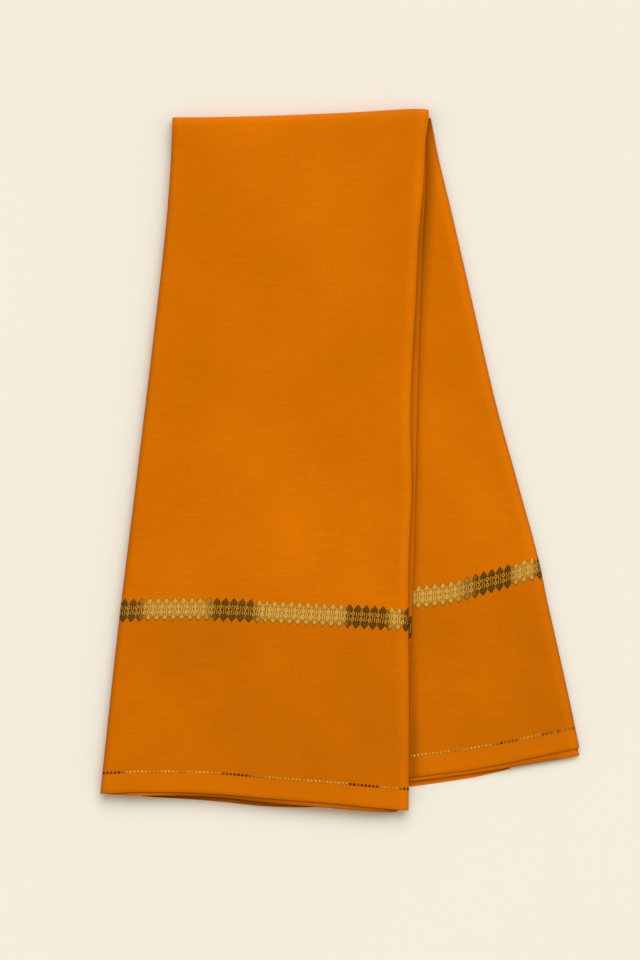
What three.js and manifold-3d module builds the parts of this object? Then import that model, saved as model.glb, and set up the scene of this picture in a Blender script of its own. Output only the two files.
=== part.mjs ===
// A silk saree, folded lengthwise into a strip and folded over once at mid-width.
// It lies flat, with its two hems towards -Y and the mid-width fold towards +Y.
// Millimetres, +Z up. The origin is under the middle of the folded cloth, on the surface.
import * as THREE from 'three';
import { mergeVertices } from 'three/addons/utils/BufferGeometryUtils.js';
import Module from 'manifold-3d';

const wasm = await Module();
wasm.setup();

// Cloth: the thickness of a modelled ply and the space between two of them.
const ply = 1.1;
const seam = 0.3;

// Heights of the two folded stretches above the surface.
const fanTop = 6.4;
const frontTop = 12.8;

// Folded long edges: the radius of each bend and the width that is turned under.
const frontRoll = (frontTop - fanTop - seam) / 2;
const frontFold = 1.55;
const turnedLow = frontTop - 2 * frontFold - seam;
const turnedHigh = frontTop - ply - seam;
const turnedFold = (turnedLow - fanTop - seam) / 2;
const fanTurnedTop = fanTop - ply - seam;
const fanRoll = (fanTop - ply - seam) / 2;
const backRoll = fanTop / 2;
const turnedUnder = 8;
const turnedUnderNarrow = 5;
const bendSteps = 6;
const narrowBendSteps = 5;

// The ply below the front steps up behind the front's turned-under edge.
const rampStart = 24;
const rampEnd = 12;

// The mid-width fold: its bend, and how far the top ply goes on below the cloth.
const topBend = frontTop / 2;
const underRun = 22;

// Towards the mid-width fold the side folds open out over this length.
const openLength = 46;
const openBend = THREE.MathUtils.degToRad(24);
const lipFade = 30;

// Hidden margins: the fan's plies run in below the front, and inner plies stop short.
const fanTuck = 12;
const shortOfBend = 0.7;
const innerLeft = 4.2;
const innerRight = 3.2;
const backInset = 1.2;

// Outline of the front stretch, as widths from the middle line at heights up the cloth.
const frontLeftEdge = [
  { y: -278.1, x: -199.2 },
  { y: -149.8, x: -185.8 },
  { y: 16.9, x: -165.8 },
  { y: 150.2, x: -150.0 },
  { y: 216.9, x: -143.3 },
  { y: 286.0, x: -139.2 },
];
const frontRightEdge = [
  { y: -292.0, x: 56.3, turn: 0.0 },
  { y: -216.5, x: 57.0, turn: 0.3 },
  { y: -149.8, x: 57.1, turn: 2.2 },
  { y: -83.1, x: 57.5, turn: 4.2 },
  { y: -24.8, x: 60.0, turn: 3.3 },
  { y: 33.5, x: 58.8, turn: 5.6 },
  { y: 83.5, x: 60.5, turn: 5.3 },
  { y: 133.5, x: 63.3, turn: 4.2 },
  { y: 183.5, x: 65.6, turn: 3.6 },
  { y: 229.4, x: 69.6, turn: 1.9 },
  { y: 266.9, x: 71.4, turn: 0.4 },
  { y: 293.0, x: 74.6, turn: 0.0 },
];

// The mid-width fold line, and the hems of the plies that show below the front.
const foldLine = [
  { x: -139.2, y: 285.9 },
  { x: -100.0, y: 286.3 },
  { x: -50.0, y: 287.6 },
  { x: 12.5, y: 290.2 },
  { x: 62.5, y: 293.1 },
  { x: 75.0, y: 292.4 },
];
const frontHems = [
  { x: -199.2, top: -278.1, second: -277.2, lowest: -276.6 },
  { x: -158.3, top: -276.6, second: -278.2, lowest: -280.6 },
  { x: -116.7, top: -277.4, second: -279.5, lowest: -282.9 },
  { x: -75.0, top: -280.6, second: -283.0, lowest: -287.7 },
  { x: -41.7, top: -283.0, second: -286.5, lowest: -289.3 },
  { x: -10.0, top: -285.7, second: -289.4, lowest: -288.6 },
  { x: 20.0, top: -289.0, second: -292.5, lowest: -289.6 },
  { x: 56.3, top: -292.0, second: -293.1, lowest: -290.4 },
];

// Outline of the fanned stretch: its free right edge and its hems.
const fanRightEdge = [
  { y: -240.1, x: 199.2 },
  { y: -183.1, x: 186.7 },
  { y: -116.5, x: 171.7 },
  { y: -66.5, x: 160.8 },
  { y: -16.5, x: 146.7 },
  { y: 50.2, x: 128.3 },
  { y: 150.2, x: 105.0 },
  { y: 216.9, x: 90.0 },
  { y: 250.2, x: 81.7 },
  { y: 286.0, x: 75.0 },
];
const fanHems = [
  { x: 40.0, top: -264.0, second: -266.2, lowest: -290.0 },
  { x: 49.0, top: -264.8, second: -267.0, lowest: -288.0 },
  { x: 58.3, top: -265.3, second: -267.6, lowest: -271.8 },
  { x: 75.0, top: -263.4, second: -265.8, lowest: -268.9 },
  { x: 115.0, top: -258.1, second: -260.6, lowest: -263.4 },
  { x: 137.5, top: -253.4, second: -256.2, lowest: -258.1 },
  { x: 150.0, top: -250.6, second: -253.5, lowest: -252.4 },
  { x: 199.2, top: -240.1, second: -246.0, lowest: -243.0 },
];

// Soft troughs in the cloth: a middle point, a heading, half-sizes and a depth.
const frontTroughs = [
  { x: -118, y: 150, heading: 84, length: 120, width: 17, depth: 0.55 },
  { x: -20, y: 196, heading: 62, length: 105, width: 24, depth: 0.45 },
  { x: -96, y: -30, heading: 71, length: 95, width: 21, depth: 0.5 },
  { x: 6, y: 30, heading: 97, length: 130, width: 19, depth: 0.5 },
  { x: -52, y: -150, heading: 38, length: 85, width: 22, depth: 0.4 },
  { x: 12, y: -214, heading: 112, length: 60, width: 16, depth: 0.45 },
];
const fanTroughs = [
  { x: 98, y: -20, heading: 98, length: 110, width: 13, depth: 0.4 },
  { x: 136, y: -150, heading: 72, length: 75, width: 18, depth: 0.4 },
  { x: 90, y: -206, heading: 24, length: 50, width: 14, depth: 0.35 },
];
const deepest = 0.6;
const calmEdge = 16;

const silk = new THREE.MeshStandardMaterial({ color: 0xd46e02, roughness: 0.52, metalness: 0 });
const silkShaded = new THREE.MeshStandardMaterial({ color: 0xc86502, roughness: 0.56, metalness: 0 });
const silkInner = new THREE.MeshStandardMaterial({ color: 0xb85a02, roughness: 0.6, metalness: 0 });

// A value read from a table at a place, smooth through its rows.
function readTable(rows, placeColumn, valueColumn, place) {
  const ordered = rows[0][placeColumn] < rows[rows.length - 1][placeColumn] ? rows : [...rows].reverse();
  const last = ordered.length - 1;
  const held = THREE.MathUtils.clamp(place, ordered[0][placeColumn], ordered[last][placeColumn]);
  let row = 0;
  while (row < last - 1 && held > ordered[row + 1][placeColumn]) {
    row += 1;
  }
  const slopeAt = (index) => {
    const before = ordered[Math.max(index - 1, 0)];
    const after = ordered[Math.min(index + 1, last)];
    return (after[valueColumn] - before[valueColumn]) / (after[placeColumn] - before[placeColumn]);
  };
  const start = ordered[row];
  const end = ordered[row + 1];
  const span = end[placeColumn] - start[placeColumn];
  const t = (held - start[placeColumn]) / span;
  const square = t * t;
  const cube = square * t;
  return (2 * cube - 3 * square + 1) * start[valueColumn]
    + (cube - 2 * square + t) * span * slopeAt(row)
    + (3 * square - 2 * cube) * end[valueColumn]
    + (cube - square) * span * slopeAt(row + 1);
}

const ease = (value, from, to) => THREE.MathUtils.smoothstep(value, from, to);

// How far a set of soft troughs lowers the cloth at one place.
function troughDepth(troughs, x, y) {
  let total = 0;
  for (const trough of troughs) {
    const heading = THREE.MathUtils.degToRad(trough.heading);
    const dx = x - trough.x;
    const dy = y - trough.y;
    const along = dx * Math.cos(heading) + dy * Math.sin(heading);
    const across = -dx * Math.sin(heading) + dy * Math.cos(heading);
    total += trough.depth * Math.exp(-((along / trough.length) ** 2) - (across / trough.width) ** 2);
  }
  return Math.min(total, deepest);
}

// A four-sided patch in plan, between a left edge, a right edge, a hem and an upper line.
function patch({ left, right, hem, upper, hemEnds, upperEnds }) {
  const { lerp } = THREE.MathUtils;
  return (u, v) => {
    const leftY = lerp(hem(hemEnds[0]), upper(upperEnds[0]), v);
    const rightY = lerp(hem(hemEnds[1]), upper(upperEnds[1]), v);
    const hemX = lerp(hemEnds[0], hemEnds[1], u);
    const upperX = lerp(upperEnds[0], upperEnds[1], u);
    return new THREE.Vector2(lerp(left(leftY), right(rightY), u), lerp(hem(hemX), upper(upperX), v));
  };
}

// A folded long edge, as pairs of points on the two faces of the ply, from the flat outwards.
// Each point is its distance in from the edge and its depth below the outer face.
function foldedEdge({ radius, bend, lip, steps }) {
  const centre = bend >= Math.PI / 2 ? radius : radius * Math.sin(bend);
  const on = (distance, angle) => ({
    from: centre - distance * Math.sin(angle),
    depth: radius - distance * Math.cos(angle),
  });
  const pairs = [];
  for (let step = 0; step <= steps; step += 1) {
    const angle = (bend * step) / steps;
    pairs.push({ outer: on(radius, angle), inner: on(radius - ply, angle) });
  }
  const end = pairs[steps];
  const move = (point) => ({
    from: point.from - lip * Math.cos(bend),
    depth: point.depth + lip * Math.sin(bend),
  });
  pairs.push({ outer: move(end.outer), inner: move(end.inner) });
  return pairs;
}

const plainEdge = [{ outer: { from: 0, depth: 0 }, inner: { from: 0, depth: ply } }];

// The state of a folded edge some way below the mid-width fold, where it opens out.
function openingEdge({ radius, lip, steps }, toFold) {
  const closed = ease(toFold, 0, openLength);
  return foldedEdge({
    radius,
    bend: openBend + (Math.PI - openBend) * closed,
    lip: seam + (lip - seam) * ease(toFold, openLength, openLength + lipFade),
    steps,
  });
}

// A closed geometry from rows of paired points, one row after another up the cloth.
// A ply whose outer face is its underside has its faces turned the other way round.
function wallGeometry(rows, facesDown) {
  const across = rows[0].length;
  const along = rows.length;
  const positions = [];
  for (const face of ['outer', 'inner']) {
    for (const row of rows) {
      for (const pair of row) {
        positions.push(pair[face].x, pair[face].y, pair[face].z);
      }
    }
  }
  const outer = (column, row) => row * across + column;
  const inner = (column, row) => along * across + row * across + column;
  const faces = [];
  const quad = (a, b, c, d) => faces.push(...(facesDown ? [a, c, b, a, d, c] : [a, b, c, a, c, d]));
  for (let row = 0; row < along - 1; row += 1) {
    for (let column = 0; column < across - 1; column += 1) {
      quad(outer(column, row), outer(column + 1, row), outer(column + 1, row + 1), outer(column, row + 1));
      quad(inner(column, row), inner(column, row + 1), inner(column + 1, row + 1), inner(column + 1, row));
    }
    const next = row + 1;
    quad(outer(0, row), outer(0, next), inner(0, next), inner(0, row));
    quad(outer(across - 1, row), inner(across - 1, row), inner(across - 1, next), outer(across - 1, next));
  }
  for (let column = 0; column < across - 1; column += 1) {
    const next = column + 1;
    const top = along - 1;
    quad(outer(column, 0), inner(column, 0), inner(next, 0), outer(next, 0));
    quad(outer(column, top), outer(next, top), inner(next, top), inner(column, top));
  }
  const geometry = new THREE.BufferGeometry();
  geometry.setAttribute('position', new THREE.Float32BufferAttribute(positions, 3));
  geometry.setIndex(faces);
  return geometry;
}

// One ply: rows up the cloth, each with a folded or plain edge at both sides.
// The shape gives each row's plan, its edges, and where a point at some depth lies.
function plyGeometry({ rows, shares, plan, edges, place, facesDown = false }) {
  const built = rows.map((row) => {
    const width = plan(1, row).distanceTo(plan(0, row));
    const { left, right } = edges(row);
    const flatStart = left[0].outer.from;
    const flatEnd = width - right[0].outer.from;
    const spot = (distance, depth) => place(distance / width, row, depth, distance, width);
    const pairs = [];
    for (const pair of [...left].reverse()) {
      pairs.push({
        outer: spot(pair.outer.from, pair.outer.depth),
        inner: spot(pair.inner.from, pair.inner.depth),
      });
    }
    for (const share of shares) {
      const distance = THREE.MathUtils.lerp(flatStart, flatEnd, share);
      pairs.push({ outer: spot(distance, 0), inner: spot(distance, ply) });
    }
    for (const pair of right) {
      pairs.push({
        outer: spot(width - pair.outer.from, pair.outer.depth),
        inner: spot(width - pair.inner.from, pair.inner.depth),
      });
    }
    return pairs;
  });
  return wallGeometry(built, facesDown);
}

// Evenly spaced shares strictly between 0 and 1, and rows from 0 to 1.
const sharesOf = (count) => Array.from({ length: count - 1 }, (_, index) => (index + 1) / count);
const rowsOf = (count) => Array.from({ length: count + 1 }, (_, index) => index / count);

const foldY = (x) => readTable(foldLine, 'x', 'y', x);
const bendY = (x) => foldY(x) - topBend;
const frontLeft = (y) => readTable(frontLeftEdge, 'y', 'x', y);
const frontRight = (y) => readTable(frontRightEdge, 'y', 'x', y);
const turnOut = (y) => readTable(frontRightEdge, 'y', 'turn', y);
const fanRight = (y) => readTable(fanRightEdge, 'y', 'x', y);
const secondHem = (x) => readTable(frontHems, 'x', 'second', x);
const lowestHem = (x) => (x < fanHems[0].x
  ? readTable(frontHems, 'x', 'lowest', x)
  : readTable(fanHems, 'x', 'lowest', x));
const upperLeftX = frontLeftEdge[frontLeftEdge.length - 1].x;
const upperRightX = frontRightEdge[frontRightEdge.length - 1].x;

// Troughs die away towards both side edges and the mid-width fold, and spare what is turned under.
function calmDepth(troughs, point, distance, width, depth) {
  const sides = ease(distance, 0, calmEdge) * ease(width - distance, 0, calmEdge);
  const upper = ease(bendY(point.x) - point.y, 0, calmEdge);
  const spared = ease(depth, ply, 2 * ply);
  return troughDepth(troughs, point.x, point.y) * sides * upper * (1 - spared);
}

// The top ply of the front: flat, then round the mid-width fold, then a run below the cloth.
function frontLeafGeometry() {
  const flatRows = 30;
  const bendRows = 10;
  const underRows = 2;
  const plan = patch({
    left: frontLeft,
    right: frontRight,
    hem: (x) => readTable(frontHems, 'x', 'top', x),
    upper: bendY,
    hemEnds: [frontHems[0].x, frontRightEdge[0].x],
    upperEnds: [upperLeftX, upperRightX],
  });
  const rows = rowsOf(flatRows).map((v) => ({ v, turn: 0, run: 0 }));
  for (let step = 1; step <= bendRows; step += 1) {
    rows.push({ v: 1, turn: (Math.PI * step) / bendRows, run: 0 });
  }
  for (let step = 1; step <= underRows; step += 1) {
    rows.push({ v: 1, turn: Math.PI, run: (underRun * step) / underRows });
  }
  return plyGeometry({
    rows,
    shares: sharesOf(18),
    plan: (u, row) => plan(u, row.v),
    edges: (row) => {
      const toFold = bendY(0) - plan(0.5, row.v).y;
      return {
        left: openingEdge({ radius: frontRoll, lip: turnedUnder, steps: bendSteps }, toFold),
        right: openingEdge({ radius: frontFold, lip: turnedUnder, steps: narrowBendSteps }, toFold),
      };
    },
    place: (u, row, depth, distance, width) => {
      const point = plan(u, row.v);
      const sunk = row.turn === 0 ? calmDepth(frontTroughs, point, distance, width, depth) : 0;
      const reach = topBend - depth;
      return new THREE.Vector3(
        point.x,
        point.y + reach * Math.sin(row.turn) - row.run,
        topBend + reach * Math.cos(row.turn) - sunk,
      );
    },
  });
}

// Shares of the turned ply's width, closer together over its step and near its folded edge.
const turnedShares = [0.12, 0.25, 0.38, 0.5, 0.62, 0.73, 0.82, 0.88, 0.905, 0.93, 0.955, 0.98];

// The ply below the front. It steps down under the front's turned-under edge and shows past it.
function frontTurnedLeafGeometry() {
  const plan = patch({
    left: (y) => frontLeft(y) + innerLeft,
    right: (y) => frontRight(y) + turnOut(y),
    hem: secondHem,
    upper: (x) => bendY(x) - shortOfBend,
    hemEnds: [frontHems[0].x + innerLeft, frontRightEdge[0].x],
    upperEnds: [upperLeftX + innerLeft, upperRightX],
  });
  return plyGeometry({
    rows: rowsOf(28),
    shares: turnedShares,
    plan,
    edges: (v) => {
      const toFold = bendY(0) - plan(0.5, v).y;
      return {
        left: plainEdge,
        right: openingEdge({ radius: turnedFold, lip: turnedUnderNarrow, steps: narrowBendSteps }, toFold),
      };
    },
    place: (u, v, depth, distance, width) => {
      const point = plan(u, v);
      const fromFront = width - turnOut(point.y) - distance;
      const raised = ease(fromFront, rampEnd, rampStart);
      const frontWidth = width + innerLeft - turnOut(point.y);
      const sunk = calmDepth(frontTroughs, point, distance + innerLeft, frontWidth, depth);
      const top = THREE.MathUtils.lerp(turnedLow, turnedHigh, raised);
      return new THREE.Vector3(point.x, point.y, top - depth - sunk);
    },
  });
}

// A ply of the fanned stretch, tucked in below the front at its left.
function fanPlyGeometry({ top, hem, rightInset, edge, rowCount, shareCount }) {
  const tuckedHemX = frontRightEdge[0].x - fanTuck;
  const plan = patch({
    left: (y) => frontRight(y) - fanTuck,
    right: (y) => fanRight(y) - rightInset,
    hem: (x) => readTable(fanHems, 'x', hem, x),
    upper: (x) => bendY(x) - shortOfBend,
    hemEnds: [tuckedHemX, fanRightEdge[0].x - rightInset],
    upperEnds: [upperRightX - fanTuck, upperRightX - rightInset],
  });
  return plyGeometry({
    rows: rowsOf(rowCount),
    shares: sharesOf(shareCount),
    plan,
    edges: (v) => {
      const toFold = bendY(0) - plan(0.5, v).y;
      return { left: plainEdge, right: edge ? openingEdge(edge, toFold) : plainEdge };
    },
    place: (u, v, depth, distance, width) => {
      const point = plan(u, v);
      const shownWidth = width + rightInset - fanTuck;
      const sunk = calmDepth(fanTroughs, point, distance - fanTuck, shownWidth, depth);
      return new THREE.Vector3(point.x, point.y, top - depth - sunk);
    },
  });
}

const fanLeaf = {
  top: fanTop,
  hem: 'top',
  rightInset: 0,
  edge: { radius: fanRoll, lip: turnedUnder, steps: bendSteps },
  rowCount: 30,
  shareCount: 14,
};
const fanTurnedLeaf = {
  top: fanTurnedTop,
  hem: 'second',
  rightInset: innerRight,
  edge: null,
  rowCount: 18,
  shareCount: 14,
};

// Shares of the lowest ply's width, closer together where its hem steps up beside the front.
const backShares = [0.08, 0.16, 0.25, 0.34, 0.43, 0.52, 0.6, 0.615, 0.63, 0.645, 0.7, 0.78, 0.86, 0.93];

// The lowest ply: flat on the surface, with its left edge folded up round the lower stretch.
function backLeafGeometry() {
  const backUpperLeft = frontLeft(bendY(upperLeftX) - underRun) + backInset;
  const backUpperRight = fanRight(bendY(upperRightX) - underRun) - backInset;
  const plan = patch({
    left: (y) => frontLeft(y) + backInset,
    right: (y) => fanRight(y) - backInset,
    hem: lowestHem,
    upper: (x) => bendY(x) - underRun - seam,
    hemEnds: [frontHems[0].x + backInset, fanRightEdge[0].x - backInset],
    upperEnds: [backUpperLeft, backUpperRight],
  });
  return plyGeometry({
    rows: rowsOf(26),
    shares: backShares,
    plan,
    edges: (v) => {
      const toFold = bendY(0) - plan(0.5, v).y;
      const left = openingEdge({ radius: backRoll, lip: turnedUnder, steps: bendSteps }, toFold);
      return { left, right: plainEdge };
    },
    place: (u, v, depth) => {
      const point = plan(u, v);
      return new THREE.Vector3(point.x, point.y, depth);
    },
    facesDown: true,
  });
}

// The hidden layers, from the surface up. Insets are from the outline of the stretch they are in.
const bendReach = topBend - ply - 1.5 * seam;
const coreFloor = ply + seam;
const layerSpace = 0.1;
const fanCoreTop = fanTurnedTop - ply - seam - deepest;
const frontCoreTop = turnedHigh - ply - seam - deepest;
const lowerLayers = [
  { from: coreFloor, to: 2.2, left: 4.8, right: 11.6, hem: 3.0 },
  { from: 2.3, to: fanCoreTop, left: 4.2, right: 11.2, hem: 1.7 },
];
const upperLayers = [
  { from: fanCoreTop - layerSpace, to: 4.0, left: 4.8, right: 13.6, hem: 2.2 },
  { from: 4.1, to: 4.9, left: 4.6, right: 13.2, hem: 3.1 },
  { from: 5.0, to: 6.5, left: 13.4, right: 13.5, hem: 2.0 },
  { from: 6.7, to: 8.0, left: 13.8, right: 9.6, hem: 2.8 },
  { from: 8.1, to: 8.8, left: 4.4, right: 26.0, hem: 1.8 },
  { from: 8.9, to: frontCoreTop, left: 3.9, right: 25.4, hem: 2.4 },
];
const edgeRound = 0.3;

// The plan outline of a hidden layer at one height, from its upper left corner round by its hem.
function layerOutline({ left, right, hem, lastX, inset, height, round }) {
  const sidePoints = 12;
  const hemPoints = 20;
  const upperPoints = 5;
  const lift = Math.sqrt(Math.max(bendReach ** 2 - (height - topBend) ** 2, 0));
  const upper = (x) => bendY(x) + lift - round;
  const leftX = (y) => left(y) + inset.left + round;
  const rightX = (y) => right(y) - inset.right - round;
  const hemStart = frontHems[0].x + inset.left + round;
  const hemEnd = lastX - inset.right - round;
  const hemAt = (x) => hem(x) + inset.hem + round;
  const upperStart = upperLeftX + inset.left + round;
  const upperEnd = upperRightX - inset.right - round;
  const outline = [];
  for (let step = 0; step < sidePoints; step += 1) {
    const y = THREE.MathUtils.lerp(upper(upperStart), hemAt(hemStart), step / sidePoints);
    outline.push(new THREE.Vector2(leftX(y), y));
  }
  for (let step = 0; step < hemPoints; step += 1) {
    const x = THREE.MathUtils.lerp(hemStart, hemEnd, step / hemPoints);
    outline.push(new THREE.Vector2(x, hemAt(x)));
  }
  for (let step = 0; step < sidePoints; step += 1) {
    const y = THREE.MathUtils.lerp(hemAt(hemEnd), upper(upperEnd), step / sidePoints);
    outline.push(new THREE.Vector2(rightX(y), y));
  }
  for (let step = 0; step < upperPoints; step += 1) {
    const x = THREE.MathUtils.lerp(upperEnd, upperStart, step / upperPoints);
    outline.push(new THREE.Vector2(x, upper(x)));
  }
  return outline;
}

// A stack of layers as one closed shape, each layer with rounded edges.
function layerStack(layers, stretch) {
  const rings = [];
  for (const inset of layers) {
    const levels = [
      { height: inset.from, round: edgeRound },
      { height: inset.from + edgeRound, round: 0 },
      { height: inset.to - edgeRound, round: 0 },
      { height: inset.to, round: edgeRound },
    ];
    for (const { height, round } of levels) {
      rings.push({ height, outline: layerOutline({ ...stretch, inset, height, round }) });
    }
  }
  const count = rings[0].outline.length;
  const positions = [];
  for (const { height, outline } of rings) {
    for (const point of outline) {
      positions.push(point.x, point.y, height);
    }
  }
  const faces = [];
  for (let ring = 0; ring < rings.length - 1; ring += 1) {
    for (let index = 0; index < count; index += 1) {
      const next = (index + 1) % count;
      const a = ring * count + index;
      const b = ring * count + next;
      faces.push(a, b, b + count, a, b + count, a + count);
    }
  }
  for (const [a, b, c] of THREE.ShapeUtils.triangulateShape(rings[0].outline, [])) {
    faces.push(c, b, a);
  }
  const lastRing = (rings.length - 1) * count;
  for (const [a, b, c] of THREE.ShapeUtils.triangulateShape(rings[rings.length - 1].outline, [])) {
    faces.push(a + lastRing, b + lastRing, c + lastRing);
  }
  return new wasm.Manifold(new wasm.Mesh({
    numProp: 3,
    vertProperties: new Float32Array(positions),
    triVerts: new Uint32Array(faces),
  }));
}

// The hidden layers of both stretches, joined into one solid.
function innerLayersGeometry() {
  const lower = layerStack(lowerLayers, {
    left: frontLeft, right: fanRight, hem: lowestHem, lastX: fanRightEdge[0].x,
  });
  const upper = layerStack(upperLayers, {
    left: frontLeft, right: frontRight, hem: secondHem, lastX: frontRightEdge[0].x,
  });
  const joined = lower.add(upper).getMesh();
  const geometry = new THREE.BufferGeometry();
  geometry.setAttribute('position', new THREE.BufferAttribute(joined.vertProperties, 3));
  geometry.setIndex(new THREE.BufferAttribute(joined.triVerts, 1));
  return mergeVertices(geometry);
}

const saree = new THREE.Group();

function addCloth(name, geometry, material) {
  const cloth = new THREE.Mesh(geometry, material.clone());
  cloth.name = name;
  saree.add(cloth);
}

addCloth('front_leaf', frontLeafGeometry(), silk);
addCloth('front_turned_leaf', frontTurnedLeafGeometry(), silkShaded);
addCloth('fan_leaf', fanPlyGeometry(fanLeaf), silk);
addCloth('fan_turned_leaf', fanPlyGeometry(fanTurnedLeaf), silkShaded);
addCloth('back_leaf', backLeafGeometry(), silkShaded);
addCloth('folded_inner_layers', innerLayersGeometry(), silkInner);

export default saree;
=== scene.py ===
import math
from collections import namedtuple
from functools import partial

import bmesh
import bpy
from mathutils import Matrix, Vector


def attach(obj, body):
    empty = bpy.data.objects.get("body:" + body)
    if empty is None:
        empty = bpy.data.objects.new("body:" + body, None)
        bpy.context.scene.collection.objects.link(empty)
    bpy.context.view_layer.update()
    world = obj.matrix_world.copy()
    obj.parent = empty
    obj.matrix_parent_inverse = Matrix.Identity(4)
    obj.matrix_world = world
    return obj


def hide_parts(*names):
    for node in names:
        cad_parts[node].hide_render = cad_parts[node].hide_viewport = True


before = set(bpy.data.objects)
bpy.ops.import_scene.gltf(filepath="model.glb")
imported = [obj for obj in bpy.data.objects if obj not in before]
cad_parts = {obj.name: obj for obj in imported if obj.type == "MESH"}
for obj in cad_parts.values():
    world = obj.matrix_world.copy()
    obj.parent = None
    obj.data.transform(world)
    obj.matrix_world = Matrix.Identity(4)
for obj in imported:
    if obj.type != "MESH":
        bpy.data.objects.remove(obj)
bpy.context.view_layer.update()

# Lengths are in millimetres where no comment says metres, and MM turns them to metres.
MM = 0.001

# Thickness of the shown silk and of the woven gold, how far the gold stands proud of the silk, the
# height that a ply takes up in the stack, and the gap below it.
SILK = 0.3
ZARI = 0.1
ZARI_LIFT = 0.15
PLY = 1.1
SEAM = 0.3

# Heights of the two folded stretches, and the bends of their folded edges.
FAN_TOP = 6.4
FRONT_TOP = 12.8
FRONT_ROLL = (FRONT_TOP - FAN_TOP - SEAM) / 2
FRONT_FOLD = 1.55
TURNED_LOW = FRONT_TOP - 2 * FRONT_FOLD - SEAM
TURNED_HIGH = FRONT_TOP - PLY - SEAM
TURNED_FOLD = (TURNED_LOW - FAN_TOP - SEAM) / 2
FAN_TURNED_TOP = FAN_TOP - PLY - SEAM
FAN_ROLL = (FAN_TOP - PLY - SEAM) / 2
BACK_ROLL = FAN_TOP / 2
TURNED_UNDER = 8.0
TURNED_UNDER_NARROW = 5.0
RAMP_START = 24.0
RAMP_END = 12.0

# The mid-width fold, the run below the cloth, and the length over which side folds open out.
TOP_BEND = FRONT_TOP / 2
UNDER_RUN = 22.0
OPEN_LENGTH = 46.0
OPEN_BEND = math.radians(24)
LIP_FADE = 30.0

# Hidden margins, and how near an edge the creases begin to die away.
FAN_TUCK = 12.0
SHORT_OF_BEND = 0.7
INNER_LEFT = 4.2
INNER_RIGHT = 3.2
BACK_INSET = 1.2
CALM_EDGE = 16.0

# How light the cloth looks, against open flat cloth: at its edges, folds and turned-under parts.
SHOULDER_LIGHT = 0.11
TOP_LIGHT = 0.05
LEFT_EDGE_SHADE = 0.8
RIGHT_EDGE_SHADE = 0.95
FAN_EDGE_SHADE = 0.8
BESIDE_LIGHT = 1.3
UNDER_SHADE = 0.6
STRIP_SHADE = 0.8
STRIP_CREST = 0.95
STRIP_CREST_HIGH = 0.78
RIM_SHADE = 0.78

# Where each of these begins and ends, in from its edge, down its fold or along Y.
SHOULDER_RISE = (0.8, 3.2)
SHOULDER_FALL = (4.0, 11.0)
UNDER_FADE = (0.6, 3.0)
LEFT_EDGE_FADE = (0.2, 5.0)
RIGHT_EDGE_FADE = (0.0, 1.8)
FAN_EDGE_FADE = (0.0, 2.0)
TOP_FADE = (0.0, 12.0)
BESIDE_FADE = (0.4, 3.0)
BESIDE_END_Y = (-215.0, -175.0)
RIM_FADE = (0.1, 1.1)
PAST_HEM_START = (-0.6, 0.0)
PAST_HEM_LINE = (0.3, 1.3)
STRIP_START = (-6.0, -3.0)
STRIP_FADE = (0.0, 2.4)
STRIP_HIGH_Y = (70.0, 180.0)

# Hems droop a little. Below this share of a ply's length its rows lie closer together.
HEM_DROOP = 0.8
HEM_CURVE = 3.6
HEM_SHARE = 0.022
HEM_ROWS = 24

# The grid of each ply: steps round its left fold, over the flat cloth as (share, steps), round its
# right fold, and up from the hem.
Grid = namedtuple("Grid", "left flat right up")
FRONT_GRID = Grid(left=16, flat=((1.0, 120),), right=14, up=210)
TURNED_GRID = Grid(left=0, flat=((0.84, 56), (1.0, 34)), right=12, up=160)
FAN_GRID = Grid(left=0, flat=((1.0, 84),), right=16, up=190)
FAN_TURNED_GRID = Grid(left=0, flat=((1.0, 60),), right=0, up=110)
BACK_GRID = Grid(left=16, flat=((0.58, 40), (0.68, 26), (1.0, 24)), right=0, up=120)
BEND_STEPS = 22
UNDER_STEPS = 6


def table(columns, *rows):
    """A short table: its columns by name."""
    return {name: [row[place] for row in rows] for place, name in enumerate(columns.split())}


# Edges of the front stretch and of the fanned stretch, from the hem up.
FRONT_LEFT = table(
    "y x",
    (-278.1, -200.0), (-149.8, -186.1), (16.9, -165.8),
    (150.2, -150.0), (216.9, -143.3), (286.0, -139.2),
)
FRONT_RIGHT = table(
    "y x turn",
    (-292.0, 57.2, 0.0), (-216.5, 57.6, 0.3), (-149.8, 57.1, 2.2),
    (-83.1, 57.5, 4.2), (-24.8, 60.0, 3.3), (33.5, 58.8, 5.6),
    (83.5, 60.5, 5.3), (133.5, 63.3, 4.2), (183.5, 65.6, 3.6),
    (229.4, 69.6, 1.9), (266.9, 71.4, 0.4), (293.0, 74.6, 0.0),
)
FAN_RIGHT = table(
    "y x",
    (-240.1, 199.8), (-183.1, 187.7), (-116.5, 172.7), (-92.0, 167.7),
    (-66.5, 161.5), (-48.0, 156.4), (-16.5, 147.6), (50.2, 129.3),
    (150.2, 106.2), (216.9, 90.7), (250.2, 82.6), (286.0, 75.2),
)

# The soft shade on the fanned stretch beside the front: how dark, and from where to where it fades.
BESIDE_FRONT = table(
    "y shade start reach",
    (-292, 0.64, 3.4, 12.0), (-235, 0.64, 3.2, 12.0),
    (-205, 0.66, 1.0, 10.0), (-175, 0.68, -1.5, 8.5),
    (-150, 0.72, -2.5, 8.0), (0, 0.74, -2.5, 7.5),
    (100, 0.72, -2.5, 8.0), (150, 0.62, -2.5, 10.0),
    (195, 0.48, -2.5, 12.0), (293, 0.45, -2.5, 13.0),
)

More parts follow.
